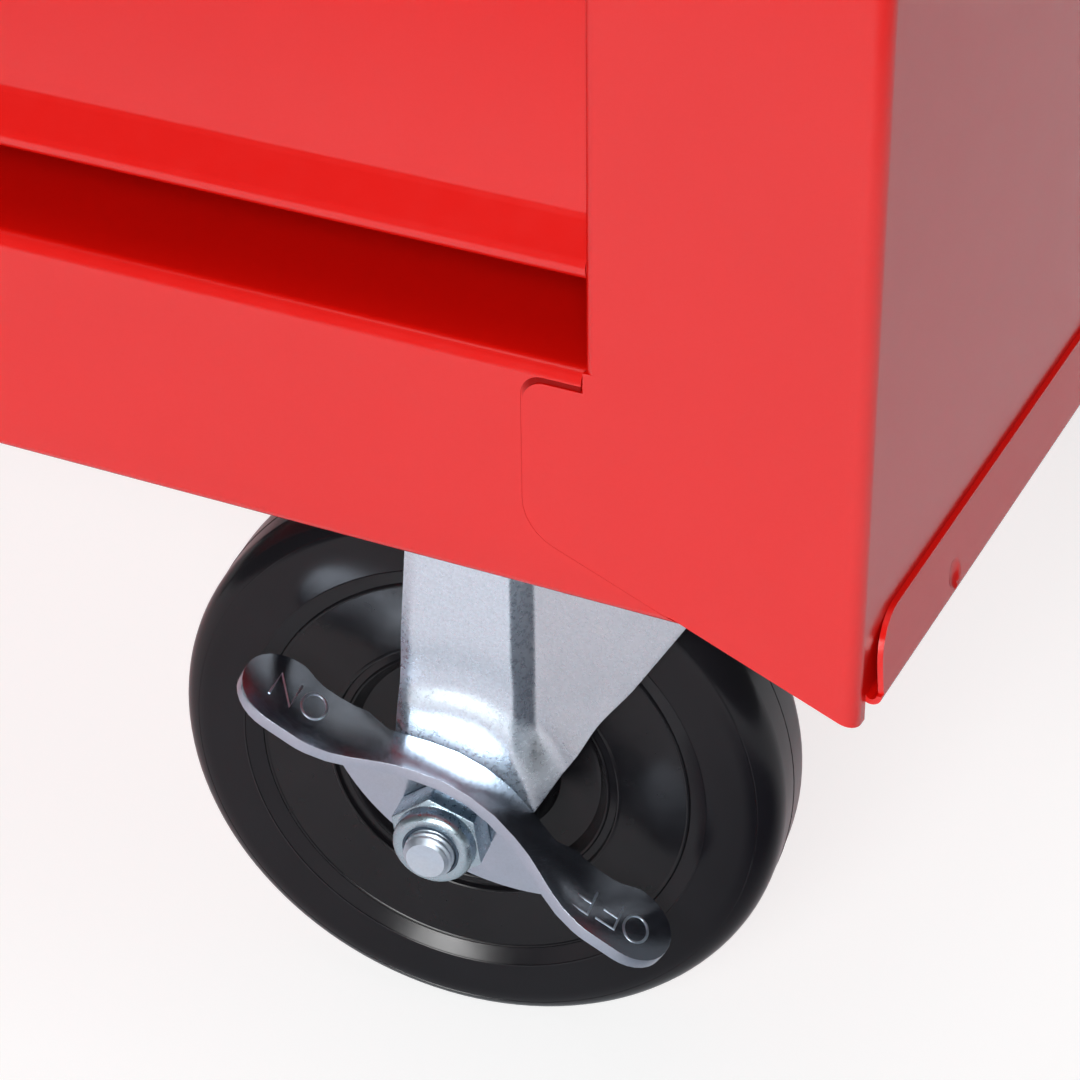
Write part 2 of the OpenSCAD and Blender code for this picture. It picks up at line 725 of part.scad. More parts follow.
module axle_nut(y) {
    round_r = nut_af / sqrt(3);
    collar_r = 0.48 * nut_af;
    translate([0, -y, 0]) rotate([90, 0, 0]) difference() {
        union() {
            intersection() {
                rotate([0, 0, nut_turn]) cylinder(r = round_r, h = nut_hex_h, $fn = 6);
                cylinder(r1 = round_r + 2 * nut_hex_h, r2 = collar_r + 0.4, h = nut_hex_h + 1.4);
            }
            rotate_extrude() polygon(outline([
                [0, 0, 0], [collar_r, 0, 0], [collar_r, nut_h, 1.6], [0, nut_h, 0]
            ]));
        }
        translate([0, 0, -1]) cylinder(r = axle_d / 2 + snug, h = nut_h + 2);
    }
}

module axle_sleeve() {
    difference() {
        rod_y(axle_d / 2 + sleeve_t, -sleeve_l / 2, sleeve_l / 2);
        rod_y(axle_d / 2 + bolt_play, -sleeve_l, sleeve_l);
    }
}

module tyre() {
    half = wheel_w / 2;
    seat = core_r + snug;
    round_r = wheel_r - shoulder_r;
    color(black) rotate([90, 0, 0]) rotate_extrude($fn = 128) difference() {
        union() {
            translate([seat, -half]) square([round_r - seat, wheel_w]);
            translate([seat, -half + shoulder_r]) square([wheel_r - seat, wheel_w - 2 * shoulder_r]);
            for (s = [-1, 1]) translate([round_r, s * (half - shoulder_r)]) circle(shoulder_r);
        }
        for (m = [0, 1]) mirror([0, m])
            polygon([[0, half + 1], [0, half - core_depth], [seat, half - core_depth], [wall_r, half], [wall_r, half + 1]]);
    }
}

module wheel_core() {
    face = wheel_w / 2 - core_depth;
    bore = axle_d / 2 + sleeve_t + running;
    ring_floor = face - 3.5;
    nose_r = leg_r - fork_t - 0.8;
    half = [
        [bore, nose_half, 0], [nose_r, nose_half, 0], [nose_r, hub_half, 0], [hub_r - 1.5, hub_half, 1],
        [hub_r, ring_floor, 1.5], [ring_r - 2, ring_floor, 1],
        [ring_r, face - 0.8, 0.6], [ring_r + 1.5, face - 0.8, 0.6], [core_r, face, 0]
    ];
    color(black) rotate([90, 0, 0]) rotate_extrude($fn = 128)
        polygon(outline(concat(half, [for (p = backwards(half)) [p[0], -p[1], p[2]]])));
}

// A lever in its OFF position: leaf plate, bent ledge and two paddles
module brake_lever() {
    shoulder_x = 27;
    top = [
        [lever_half, paddle_z, 0], [shoulder_x, paddle_z, 18], [0, peak_z, arch_r], [-shoulder_x, paddle_z, 18],
        [-lever_half, paddle_z, 0]
    ];
    ledge = lever_y + ledge_w;
    paddle = paddle_back + paddle_w;
    neck_x = 24.5;
    end_r = 0.48 * paddle_w;
    side = [
        [-16, -ledge, 14], [-lever_half + paddle_w - 2, -paddle, 12], [-lever_half, -paddle, end_r],
        [-lever_half, -paddle_back, end_r], [-lever_half + end_r + 1, -paddle_back, 4],
        [-lever_half + end_r + 5.5, -neck_back, 6], [-neck_x, -neck_back, 3], [-neck_x + 5, -lever_y, 3]
    ];
    plan_points = concat(side, [for (p = backwards(side)) [-p[0], p[1], p[2]]]);
    color(zinc) rotate([0, lever_tilt, 0]) difference() {
        union() {
            intersection() {
                along_y(-2 * ledge, 0) polygon(folded(top, lever_t));
                along_z(-peak_z, 2 * peak_z) polygon(outline(plan_points));
            }
            along_y(-lever_y - lever_t, -lever_y) intersection() {
                translate([0, leaf_r - leaf_drop]) circle(leaf_r);
                polygon(concat(path(top), [[-lever_half, -peak_z], [lever_half, -peak_z]]));
                translate([-shoulder_x - 2, -peak_z]) square([2 * shoulder_x + 4, 2 * peak_z]);
            }
        }
        rod_y(axle_d / 2 + running, -ledge, 0);
    }
}

module caster_fasteners() {
    head_top = caster_h - plate_t;
    nut_low = caster_h + sheet + channel_t;
    color(zinc) at_plates() bolt_pattern() {
        along_z(head_top - plate_head_h, head_top) circle(plate_af / sqrt(3), $fn = 6);
        along_z(head_top - 1, nut_low + plate_nut_h + 3) circle(bolt_d / 2);
        along_z(nut_low, nut_low + plate_nut_h) difference() {
            circle(plate_af / sqrt(3), $fn = 6);
            circle(bolt_d / 2 + snug);
        }
    }
}
module rear_axle_fasteners() {
    color(zinc) for (side = [-1, 1]) at_rear(side) {
        axle_bolt(boss_out + nut_h + bolt_over);
        axle_nut(boss_out);
    }
}
module rear_axle_sleeves() { color(steel) for (side = [-1, 1]) at_rear(side) axle_sleeve(); }

// Handle and lock
handle_z = top_z - handle_drop;
handle_x = xw + handle_reach;
bracket_w = 22;

module handle_tube() {
    end = handle_l / 2 + bracket_w / 2 - 4;
    color(zinc) translate([handle_x, 0, handle_z]) difference() {
        rod_y(handle_d / 2, -end, end);
        rod_y(handle_d / 2 - 1.5, -end - 1, end + 1);
    }
}

module handle_brackets() {
    ring = handle_d / 2 + bracket_wall;
    pad_t = 5;
    pad_h = 2.6 * handle_d;
    socket = handle_l / 2 + bracket_w / 2 - 4;
    color(black) difference() {
        for (y = [-handle_l / 2, handle_l / 2]) along_y(y - bracket_w / 2, y + bracket_w / 2) {
            translate([handle_x, handle_z]) circle(ring);
            polygon([[xw, handle_z - 0.42 * pad_h], [handle_x, handle_z - ring],
                     [handle_x, handle_z + ring], [xw, handle_z + 0.42 * pad_h]]);
            polygon(outline([[xw, handle_z - pad_h / 2, 0], [xw + pad_t, handle_z - pad_h / 2, 3],
                             [xw + pad_t, handle_z + pad_h / 2, 3], [xw, handle_z + pad_h / 2, 0]]));
        }
        translate([handle_x, 0, handle_z]) rod_y(handle_d / 2 + snug, -socket - snug, socket + snug);
    }
}

module lock_body() {
    color(zinc) translate([0, 0, lock_z]) difference() {
        union() {
            rod_y(lock_d / 2, yf - 1, cam_y - 2);
            translate([0, yf, 0]) rotate([90, 0, 0])
                cylinder(r1 = lock_d / 2 + 3.5, r2 = lock_d / 2 + 1.5, h = lock_proud);
            hex_rod(lock_d + 6, yf + sheet, yf + sheet + 4);
        }
        rod_y(plug_d / 2 + running, yf - lock_proud - 1, cam_y);
    }
}

module lock_plug() {
    key_w = 2;
    color(steel) translate([0, 0, lock_z]) difference() {
        rod_y(plug_d / 2, yf - lock_proud + 0.4, cam_y);
        translate([-key_w / 2, yf - lock_proud - 1, -plug_d / 3]) cube([key_w, 9, 2 * plug_d / 3]);
    }
}

module lock_cam() {
    color(zinc) translate([0, 0, lock_z]) along_y(cam_y, cam_y + cam_t) polygon(outline([
        [-cam_w / 2, -cam_w / 2, 0.45 * cam_w], [cam_l, -cam_w / 2, 0.45 * cam_w],
        [cam_l, cam_w / 2, 0.45 * cam_w], [-cam_w / 2, cam_w / 2, 0.45 * cam_w]
    ]));
}

placed() side_panel_left();
placed() side_panel_right();
placed() back_panel();
placed() top_panel();
placed() bottom_panel();
placed() bottom_rail();
placed() top_rail();
placed() base_channels();
placed() slide_posts();
placed() slide_outer_members();
placed() handle_tube();
placed() handle_brackets();
placed() lock_body();
placed() lock_plug();
placed() lock_cam();
placed() front_caster_plates();
placed() kingpins();
placed() swivel_balls();
placed() rear_caster_forks();
placed() caster_fasteners();
placed() rear_axle_fasteners();
placed() rear_axle_sleeves();
for (side = [-1, 1]) {
    hand = side < 0 ? "left" : "right";
    placed() at_front(side) color(zinc) fork();
    placed() at_front(side) color(zinc) axle_bolt(bolt_end);
    placed() at_front(side) color(zinc) axle_nut(nut_y);
    placed() at_front(side) color(steel) axle_sleeve();
    placed() at_front(side) brake_lever();
    placed() at_front(side) wheel_core();
    placed() at_rear(side) wheel_core();
    placed() at_front(side) tyre();
    placed() at_rear(side) tyre();
}
for (i = [0 : last]) {
    placed() drawer_front(i);
    placed() drawer_box(i);
    placed() drawer_runners(i);
    placed() slide_middles(i);
}
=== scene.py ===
"""Looks of the rolling tool cabinet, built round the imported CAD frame. Metres, +Z up, the front faces -Y."""

import json
import math

import bmesh
import bpy
from mathutils import Matrix, Vector


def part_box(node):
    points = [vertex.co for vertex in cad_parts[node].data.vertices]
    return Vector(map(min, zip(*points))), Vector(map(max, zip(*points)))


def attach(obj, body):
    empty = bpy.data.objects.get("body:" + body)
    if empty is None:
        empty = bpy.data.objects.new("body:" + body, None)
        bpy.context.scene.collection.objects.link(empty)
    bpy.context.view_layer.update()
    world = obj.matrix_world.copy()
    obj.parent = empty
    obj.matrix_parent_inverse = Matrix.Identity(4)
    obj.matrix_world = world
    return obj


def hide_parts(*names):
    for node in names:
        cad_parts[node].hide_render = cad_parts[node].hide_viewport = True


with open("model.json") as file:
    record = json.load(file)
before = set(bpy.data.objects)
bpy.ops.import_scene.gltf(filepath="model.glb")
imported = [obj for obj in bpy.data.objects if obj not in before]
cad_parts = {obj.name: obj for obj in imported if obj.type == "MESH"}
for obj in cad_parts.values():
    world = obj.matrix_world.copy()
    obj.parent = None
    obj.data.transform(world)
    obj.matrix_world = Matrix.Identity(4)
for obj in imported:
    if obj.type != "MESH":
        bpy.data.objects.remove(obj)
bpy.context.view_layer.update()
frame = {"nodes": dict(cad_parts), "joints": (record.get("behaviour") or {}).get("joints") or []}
nodes = frame["nodes"]
joints = {j["name"]: j for j in frame["joints"]}
MM = 0.001

# Sizes repeated from the part's source, in millimetres
WHEEL_R, WHEEL_HALF, SHOULDER_R, WALL_R = 62.5, 13.0, 7.0, 48.1
AXLE_R, NUT_AF, HEAD_H = 5.0, 17.0, 6.4
LEG_OUT, BOSS_OUT, FORK_T, LEG_R = 20.7, 25.2, 2.5, 12.5
LEG_BACK, LEG_FRONT, CROWN_Z = -7.0, 62.7, 77.4
SWIVEL_LEAD, KINGPIN_R, CUP_R, CUP_T, CUP_TOP = 32.0, 6.08, 31.2, 2.5, 83.4
NUT_Y, NUT_H, BOLT_END = 28.1, 9.9, 41.2
LEVER_TILT, PADDLE_Z = 30.4, 5.8
STILE_W, TAB_W, TAB_TOP, TAB_R, TAB_SWEEP_R = 49.4, 60.3, 52.9, 4.0, 9.0
FOOT_SLOPE, SEAM, SLIT, RAIL_RISE = 0.4, 0.35, 1.2, 11.7
SIDE_SKIN = 1.05  # from the bottom panel's edge to the side's outer face


# Camera of the photograph: place and angles found from the cabinet's straight edges and the wheel's outline
CAMERA_TURN = (26.255, 33.717, -0.692)  # azimuth, elevation and roll, in degrees
CAMERA_FROM_FOOT = (153.40, -427.34, 340.26)
FOCAL_PX, PHOTO_PX, SENSOR = 3421.97, 1080, 36


def make_camera():
    """Set up the camera and return the right foot's corner, which its place is measured from."""
    az, el, roll = (math.radians(a) for a in CAMERA_TURN)
    forward = Vector((-math.sin(az) * math.cos(el), math.cos(az) * math.cos(el), -math.sin(el)))
    right = Vector((math.cos(az), math.sin(az), 0))
    down = forward.cross(right)
    c, s = math.cos(roll), math.sin(roll)
    right, down = c * right - s * down, s * right + c * down
    data = bpy.data.cameras.new("photo_camera")
    data.sensor_width = SENSOR
    data.lens = FOCAL_PX / PHOTO_PX * SENSOR
    data.clip_start, data.clip_end = 0.02, 60
    cam = bpy.data.objects.new("photo_camera", data)
    bpy.context.scene.collection.objects.link(cam)
    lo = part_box("side_panel_right")[0]
    foot = Vector((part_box("bottom_panel")[1].x + SIDE_SKIN * MM, lo.y, lo.z))
    m = Matrix((right, -down, -forward)).transposed().to_4x4()
    m.translation = foot + Vector(CAMERA_FROM_FOOT) * MM
    cam.matrix_world = m
    bpy.context.scene.camera = cam
    return foot


FOOT = make_camera()


# Materials
class Shader:
    """A material's node tree, with short ways to add what the materials here share."""

    def __init__(self, name, colour, metallic, roughness):
        self.mat = bpy.data.materials.new(name)
        self.mat.use_nodes = True
        self.tree = self.mat.node_tree
        self.bsdf = self.tree.nodes["Principled BSDF"]
        self.bsdf.inputs["Base Color"].default_value = (*colour, 1)
        self.bsdf.inputs["Metallic"].default_value = metallic
        self.bsdf.inputs["Roughness"].default_value = roughness
        self.coords = self.node("ShaderNodeTexCoord").outputs["Object"]

    def node(self, kind, **values):
        n = self.tree.nodes.new(kind)
        for k, v in values.items():
            setattr(n, k, v)
        return n

    def link(self, a, b):
        self.tree.links.new(a, b)

    def noise(self, scale, detail=3.0, roughness=0.5, stretch=None):
        n = self.node("ShaderNodeTexNoise")
        n.inputs["Scale"].default_value = scale
        n.inputs["Detail"].default_value = detail
        n.inputs["Roughness"].default_value = roughness
        source = self.coords
        if stretch:
            m = self.node("ShaderNodeMapping")
            m.inputs["Scale"].default_value = stretch
            self.link(source, m.inputs["Vector"])
            source = m.outputs["Vector"]
        self.link(source, n.inputs["Vector"])
        return n.outputs["Fac"]

    def spots(self, scale, size):
        """White where a Voronoi cell's middle is near, so small round specks."""
        v = self.node("ShaderNodeTexVoronoi")
        v.inputs["Scale"].default_value = scale
        self.link(self.coords, v.inputs["Vector"])
        return self.ramp(v.outputs["Distance"], [(0.0, (1, 1, 1)), (size, (0, 0, 0))])

    def ramp(self, fac, stops):
        r = self.node("ShaderNodeValToRGB")
        e = r.color_ramp.elements
        while len(e) < len(stops):
            e.new(0.5)
        for k, (at, colour) in zip(e, stops):
            k.position = at
            k.color = (*colour, 1)
        self.link(fac, r.inputs["Fac"])
        return r.outputs["Color"]

    def mix(self, fac, a, b, mode="MIX"):
        """Mix two colours: sockets 0, 6 and 7 are the node's factor and colours, and output 2 its result."""
        m = self.node("ShaderNodeMix", data_type="RGBA", blend_type=mode)
        for value, name in ((fac, 0), (a, 6), (b, 7)):
            if isinstance(value, (int, float)):
                m.inputs[name].default_value = value
            elif isinstance(value, tuple):
                m.inputs[name].default_value = (*value, 1)
            else:
                self.link(value, m.inputs[name])
        return m.outputs[2]

    def span(self, fac, low, high, a=0.3, b=0.7):
        """Map a value between a and b to one between low and high."""
        r = self.node("ShaderNodeMapRange")
        r.inputs["From Min"].default_value = a
        r.inputs["From Max"].default_value = b
        r.inputs["To Min"].default_value = low
        r.inputs["To Max"].default_value = high
        self.link(fac, r.inputs["Value"])
        return r.outputs["Result"]

    def colour(self, socket):
        self.link(socket, self.bsdf.inputs["Base Color"])

    def rough(self, socket):
        self.link(socket, self.bsdf.inputs["Roughness"])

    def bump(self, *layers):
        """Stack bumps, each a height, a strength and a depth in millimetres."""
        normal = None
        for height, strength, depth in layers:
            b = self.node("ShaderNodeBump")
            b.inputs["Strength"].default_value = strength
            b.inputs["Distance"].default_value = depth * MM
            self.link(height, b.inputs["Height"])
            if normal:
                self.link(normal, b.inputs["Normal"])
            normal = b.outputs["Normal"]
        self.link(normal, self.bsdf.inputs["Normal"])


def red_paint(name, painted_shade=False):
    """Powder coat: an even bright red with slight orange peel, a few dust nibs and soft gloss.

    Its last argument turns on painted shade: a point attribute of that name darkens the coat to a dull dark red with
    little gloss, standing in for the shade that falls deep in a slit.
    """
    s = Shader(name, (0.65, 0.0036, 0.0014), 0.0, 0.3)
    gloss, slit_gloss = 0.84, 0.10
    s.bsdf.inputs["Specular IOR Level"].default_value = gloss
    cloud = s.noise(14, 4, 0.6)
    base = s.ramp(cloud, [(0.3, (0.64, 0.0034, 0.0013)), (0.7, (0.67, 0.0042, 0.0017))])
    nib = s.spots(38, 0.010)
    gate = s.ramp(s.noise(60, 2), [(0.60, (0, 0, 0)), (0.66, (1, 1, 1))])
    speck = s.mix(1.0, nib, gate, "MULTIPLY")
    coat = s.mix(speck, base, (0.30, 0.01, 0.01))
    # Painted shade for the slit: a dark red and less gloss where the attribute is high
    if painted_shade:
        share = s.node("ShaderNodeAttribute", attribute_name="painted_shade").outputs["Fac"]
        coat = s.mix(share, coat, (0.26, 0.003, 0.002))
        s.link(s.span(share, gloss, slit_gloss, 0, 1), s.bsdf.inputs["Specular IOR Level"])
    s.colour(coat)
    s.rough(s.span(s.noise(220, 3), 0.21, 0.26))
    s.bump((s.noise(520, 2, 0.4), 0.05, 0.04), (speck, 0.25, 0.03))
    return s.mat


def zinc(name, tint, grain_size, grain_depth, low, high, lines=0.0, drawn=None):
    """Bright zinc: a fine mottled grain and a bluish passivated tint.

    Drawn sheet gets faint upright lines, and a brighter, bluer tint where the point attribute of that name is high:
    partly its drawn finish and partly painted sheen.
    """
    s = Shader(name, tint, 1.0, low)
    grain = s.noise(grain_size, 3, 0.6)
    patch = s.noise(70, 4, 0.6)
    cool, warm = tuple(0.93 * c for c in tint), (tint[0] * 1.03, tint[1], tint[2] * 0.96)
    clouds = s.ramp(patch, [(0.30, cool), (0.52, tint), (0.72, warm)])
    # Brighter, bluer tint on the raised panel: partly its drawn finish, partly painted sheen
    if drawn:
        share = s.node("ShaderNodeAttribute", attribute_name="drawn").outputs["Fac"]
        clouds = s.mix(share, clouds, drawn)
    s.colour(s.mix(s.span(grain, 0.0, 0.30), clouds, tuple(0.72 * c for c in tint)))
    s.rough(s.span(s.noise(900, 3, 0.6), low, high))
    layers = [(grain, 0.5, grain_depth), (s.noise(55, 2), 0.08, 0.10)]
    if lines:
        layers.append((s.noise(220, 2, 0.5, stretch=(6.0, 6.0, 0.12)), lines, 0.02))
    s.bump(*layers)
    return s.mat


def steel():
    """Plain rolled steel of the hidden channels and slides, with long drawing lines."""
    s = Shader("rolled_steel", (0.50, 0.51, 0.53), 1.0, 0.36)
    lines = s.noise(120, 3, 0.6, stretch=(3.0, 0.05, 3.0))
    s.colour(s.ramp(lines, [(0.3, (0.42, 0.43, 0.45)), (0.7, (0.58, 0.59, 0.61))]))
    s.rough(s.span(s.noise(300, 3), 0.30, 0.45))
    s.bump((lines, 0.12, 0.03))
    return s.mat


def rubber():
    """Black tyre: satin, with faint mould flow and scuffing on the tread."""
    s = Shader("tyre_black", (0.005, 0.0045, 0.006), 0.0, 0.3)
    s.bsdf.inputs["Specular IOR Level"].default_value = 0.30
    cloud = s.noise(45, 4, 0.6)
    s.colour(s.ramp(cloud, [(0.3, (0.004, 0.0036, 0.005)), (0.7, (0.0065, 0.006, 0.008))]))
    s.rough(s.span(s.noise(130, 4), 0.15, 0.21))
    s.bump((s.noise(1100, 2), 0.06, 0.02), (s.noise(60, 2), 0.05, 0.08))
    return s.mat


def plastic(name, low, high):
    """Black moulded plastic with a fine spark-eroded grain."""
    s = Shader(name, (0.005, 0.0048, 0.006), 0.0, 0.36)
    s.bsdf.inputs["Specular IOR Level"].default_value = 0.34
    s.colour(s.ramp(s.noise(80, 3), [(0.3, (0.004, 0.0038, 0.005)), (0.7, (0.0065, 0.006, 0.0075))]))
    s.rough(s.span(s.noise(260, 3), low, high))
    s.bump((s.noise(1400, 2), 0.08, 0.015))
    return s.mat


def nylon():
    """Dark blue-grey nylon of the lock nut's insert."""
    s = Shader("nylon_insert", (0.03, 0.05, 0.075), 0.0, 0.45)
    s.colour(s.ramp(s.noise(500, 2), [(0.3, (0.022, 0.038, 0.06)), (0.7, (0.04, 0.062, 0.09))]))
    s.bump((s.noise(1500, 2), 0.1, 0.02))
    return s.mat


# The seam's red carries painted shade for the slit over each foot tab
RED, SEAM_RED_PAINTED_SHADE = red_paint("red_powder_coat"), red_paint("red_seam_painted_shade", painted_shade=True)
STEEL, RUBBER = steel(), rubber()
ZINC = zinc("zinc_plate", (0.54, 0.60, 0.70), 1900, 0.030, 0.17, 0.26)
# The fork's zinc, whose raised panel has a tint of painted sheen on top of its drawn finish
FORK_ZINC = zinc("zinc_drawn_sheen", (0.62, 0.67, 0.73), 1700, 0.060, 0.23, 0.34, 0.30, drawn=(0.78, 0.90, 1.0))
NUT_ZINC = zinc("zinc_nut", (0.48, 0.60, 0.67), 1500, 0.012, 0.24, 0.34)
ROUGH_ZINC = zinc("zinc_cut_end", (0.62, 0.72, 0.82), 1300, 0.030, 0.36, 0.52)
CORE, PLASTIC, NYLON = plastic("core_black", 0.20, 0.28), plastic("bracket_black", 0.45, 0.6), nylon()
LOOKS = {"red_paint": RED, "zinc": ZINC, "steel": STEEL, "black_rubber": RUBBER, "black_core": CORE,
         "black_plastic": PLASTIC}


# Shading of the CAD nodes: the tessellated pieces are welded, edges get small rounds, and only sharp edges stay sharp
def smooth_group(degrees):
    """Node group that shades smooth, except over edges sharper than the angle."""
    g = bpy.data.node_groups.new(f"smooth_below_{degrees}", "GeometryNodeTree")
    g.interface.new_socket("Geometry", in_out="INPUT", socket_type="NodeSocketGeometry")
    g.interface.new_socket("Geometry", in_out="OUTPUT", socket_type="NodeSocketGeometry")
    source, sink = g.nodes.new("NodeGroupInput"), g.nodes.new("NodeGroupOutput")
    faces, edges = g.nodes.new("GeometryNodeSetShadeSmooth"), g.nodes.new("GeometryNodeSetShadeSmooth")
    edges.domain = "EDGE"
    edges.inputs["Shade Smooth"].default_value = False
    angle, above = g.nodes.new("GeometryNodeInputMeshEdgeAngle"), g.nodes.new("FunctionNodeCompare")
    above.operation = "GREATER_THAN"
    above.inputs[1].default_value = math.radians(degrees)
    g.links.new(source.outputs[0], faces.inputs["Geometry"])
    g.links.new(faces.outputs["Geometry"], edges.inputs["Geometry"])
    g.links.new(angle.outputs["Unsigned Angle"], above.inputs[0])
    g.links.new(above.outputs[0], edges.inputs["Selection"])
    g.links.new(edges.outputs["Geometry"], sink.inputs[0])
    return g


SMOOTH, CRISP = smooth_group(34), smooth_group(14)
WELD_GAP, FLAT_ANGLE, BEVEL_ANGLE = 2e-6, 0.2, 38


def finish_edges(o, bevel, segments, group):
    """Weld a node's mesh, round its edges by bevel millimetres and shade it by the group."""
    if "custom_normal" in o.data.attributes:
        o.data.attributes.remove(o.data.attributes["custom_normal"])
    weld = o.modifiers.new("weld", "WELD")
    weld.merge_threshold = WELD_GAP
    if bevel:
        flat = o.modifiers.new("merge_flat", "DECIMATE")
        flat.decimate_type = "DISSOLVE"
        flat.angle_limit = math.radians(FLAT_ANGLE)
        b = o.modifiers.new("edges", "BEVEL")
        b.width = bevel * MM
        b.segments = segments
        b.limit_method = "ANGLE"
        b.angle_limit = math.radians(BEVEL_ANGLE)
        b.harden_normals = False
    m = o.modifiers.new("smooth", "NODES")
    m.node_group = group
    if "panel" in o.name:  # long folds keep true normals beside the small faces at their ends
        even = o.modifiers.new("even", "WEIGHTED_NORMAL")
        even.keep_sharp = True


BEVELS = {"brake_lever_left": 0.85, "brake_lever_right": 0.85, "axle_nut_left": 0.25, "axle_nut_right": 0.25,
          "handle_brackets": 0.8, "front_caster_plates": 0.4, "lock_body": 0.3, "lock_plug": 0.2, "lock_cam": 0.3,
          "handle_tube": 0.3, "side_panel_left": 0.22, "side_panel_right": 0.22,
          "rear_caster_forks": 0.5}
for name, o in nodes.items():
    slot = o.data.materials[0].name.split(".")[0]
    o.data.materials[0] = NUT_ZINC if name.startswith("axle_nut") else LOOKS[slot]
    finish_edges(o, BEVELS.get(name, 0.0), 3 if "lever" in name else 2, CRISP if "tyre" in name else SMOOTH)


# Helpers for new pieces
def add_mesh(name, verts, faces, material, body):
    """Make a smooth-shaded piece from metre points and let it ride a body."""
    mesh = bpy.data.meshes.new(name)
    mesh.from_pydata(verts, [], faces)
    mesh.update()
    bm = bmesh.new()
    bm.from_mesh(mesh)
    bmesh.ops.recalc_face_normals(bm, faces=bm.faces)
    bm.to_mesh(mesh)
    bm.free()
    for p in mesh.polygons:
        p.use_smooth = True
    o = bpy.data.objects.new(name, mesh)
    bpy.context.scene.collection.objects.link(o)
    mesh.materials.append(material)
    m = o.modifiers.new("smooth", "NODES")
    m.node_group = SMOOTH
    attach(o, body)
    return o


def append(verts, faces, more):
    """Add another (vertices, faces) pair to these lists."""
    start = len(verts)
    verts += more[0]
    faces += [tuple(i + start for i in face) for face in more[1]]


def lathe(profile, place, steps):
    """A closed ring of the profile's (radius, along) points, turned about the local Y axis of place."""
    verts, faces, n = [], [], len(profile)
    for k in range(steps):
        a = 2 * math.pi * k / steps
        verts += [place @ Vector((r * math.cos(a), y, r * math.sin(a))) for r, y in profile]
    for k in range(steps):
        for i in range(n):
            a, b = k * n + i, k * n + (i + 1) % n
            c, d = (k + 1) % steps * n + (i + 1) % n, (k + 1) % steps * n + i
            faces.append((a, b, c, d))
    return verts, faces


def bead(line, radius, up, sink, closed):
    """A round bead along points, with up as the side it shows; sink lowers it into the surface."""
    pts = [Vector(p) - up * sink for p in line]
    verts, faces = [], []
    n, sides = len(pts), 8
    for i, p in enumerate(pts):
        a, b = pts[i - 1] if i or closed else p, pts[(i + 1) % n] if i < n - 1 or closed else p
        t = (b - a).normalized()
        side = t.cross(up).normalized()
        verts += [p + radius * (math.cos(q) * side + math.sin(q) * up)
                  for q in (2 * math.pi * k / sides for k in range(sides))]
    for i in range(n if closed else n - 1):
        j = (i + 1) % n
        for k in range(sides):
            m = (k + 1) % sides
            faces.append((i * sides + k, i * sides + m, j * sides + m, j * sides + k))
    if not closed:
        faces.append(tuple(range(sides)))
        faces.append(tuple(range((n - 1) * sides, n * sides))[::-1])
    return verts, faces


def caster_place(joint):
    """Frame of a caster in millimetres: origin on the axle, local Y along the axle, outer leg on the -Y side."""
    j = joints[joint]
    axis = Vector(j["axis"])
    y = axis if axis.y > 0 or (abs(axis.y) < 0.5 and axis.x * j["pos_m"][0] < 0) else -axis
    x = y.cross(Vector((0, 0, 1)))
    m = Matrix((x, y, Vector((0, 0, 1)))).transposed().to_4x4() @ Matrix.Scale(MM, 4)
    m.translation = Vector(j["pos_m"])
    return m


SIDES = ("left", "right")
CASTERS = {(end, s): caster_place(f"wheel_{end}_{s}_spin") for end in ("front", "rear") for s in SIDES}


# Tyres: a mould parting line round the tread and fine ribs at both edges of each flat side wall
WHEEL_STEPS = 128
RIB_R, RIB_SINK, PARTING_SINK = 58.2, 0.1, 0.06
PARTING_SIZE, RIB_SIZE, WALL_SIZE = 0.16, 0.18, 0.22
rib_q = WHEEL_HALF - SHOULDER_R + math.sqrt(SHOULDER_R ** 2 - (RIB_R - WHEEL_R + SHOULDER_R) ** 2)
wall_q = WHEEL_HALF - RIB_SINK
MOULD_LINES = (
    (WHEEL_R - PARTING_SINK, 0, PARTING_SIZE),
    (RIB_R, rib_q - RIB_SINK, RIB_SIZE), (RIB_R, -rib_q + RIB_SINK, RIB_SIZE),
    (WALL_R, wall_q, WALL_SIZE), (WALL_R, -wall_q, WALL_SIZE))
for (end, s), place in CASTERS.items():
    verts, faces = [], []
    for r, q, size in MOULD_LINES:
        ring = [(r + size * math.cos(a), q + size * math.sin(a)) for a in (math.pi * k / 4 for k in range(8))]
        append(verts, faces, lathe(ring, place, WHEEL_STEPS))
    add_mesh(f"tyre_mould_lines_{end}_{s}", verts, faces, RUBBER, f"wheel_{end}_{s}")


# Wheel cores: one lathe form with its hub, the ring recess and the fine raised edges of its mould.
# The profile is one half, as radius and distance from the wheel's middle.
CORE_PROFILE = [
    (7.05, 22.1), (8.8, 22.1), (9.2, 21.7), (9.2, 17.6), (15.0, 17.6), (15.5, 17.4), (15.8, 16.9), (16.6, 9.4),
    (17.3, 8.5), (18.6, 8.1), (24.6, 8.1), (25.5, 8.4), (27.2, 10.7), (27.4, 11.05), (27.7, 11.2), (27.95, 11.05),
    (28.1, 10.8), (29.5, 10.8), (29.7, 11.3), (29.85, 11.7), (30.1, 11.85), (30.4, 11.75), (30.6, 11.6),
    (43.8, 11.6), (44.0, 11.8), (44.25, 11.85), (44.45, 11.75), (44.6, 11.5)]
CORE_RING = [(r, -q) for r, q in CORE_PROFILE] + list(reversed(CORE_PROFILE))
for (end, s), place in CASTERS.items():
    verts, faces = lathe(CORE_RING, place, WHEEL_STEPS)
    o = add_mesh(f"moulded_core_{end}_{s}", verts, faces, CORE, f"wheel_{end}_{s}")
    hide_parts(f"wheel_core_{end}_{s}")


